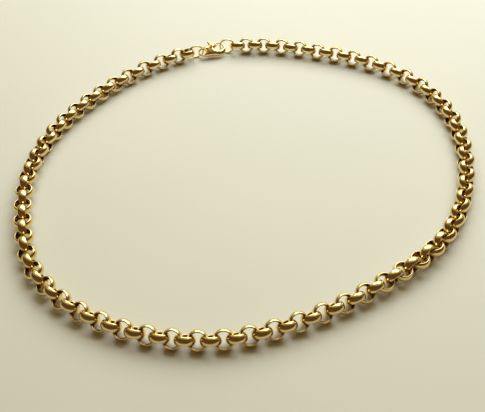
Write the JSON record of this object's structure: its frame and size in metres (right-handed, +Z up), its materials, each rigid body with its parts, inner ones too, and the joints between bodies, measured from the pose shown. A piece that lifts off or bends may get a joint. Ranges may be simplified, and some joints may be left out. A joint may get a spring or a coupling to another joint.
{
  "type": "rolo chain necklace",
  "caption": "Round-link rolo chain necklace with a lobster clasp, lying flat in a closed loop.",
  "frame": {"origin": "on the surface that the necklace lies on, under the middle of its box", "axes": "+Z up, +Y towards the clasp at the back of the loop, +X to the right seen from the front"},
  "size_m": [0.1518, 0.1452, 0.0063],
  "materials": {
    "chain_gold": "polished yellow gold",
    "clasp_gold": "polished pale yellow gold"
  },
  "bodies": {
    "necklace": {"chain": "chain_gold", "tail_ring": "clasp_gold", "clasp_body": "clasp_gold", "clasp_rivet": "clasp_gold", "end_ring": "clasp_gold"},
    "lever": {"clasp_lever": "clasp_gold"}
  },
  "joints": [
    {"name": "lever_hinge", "type": "hinge", "parent": "necklace", "child": "lever", "pos_m": [-0.01125, 0.06913, 0.00308], "axis": [-0.0897, 0.4919, -0.866], "range_deg": [0, 20], "stiffness_Nm_per_rad": 0.0025, "springref_deg": -5.73}
  ]
}
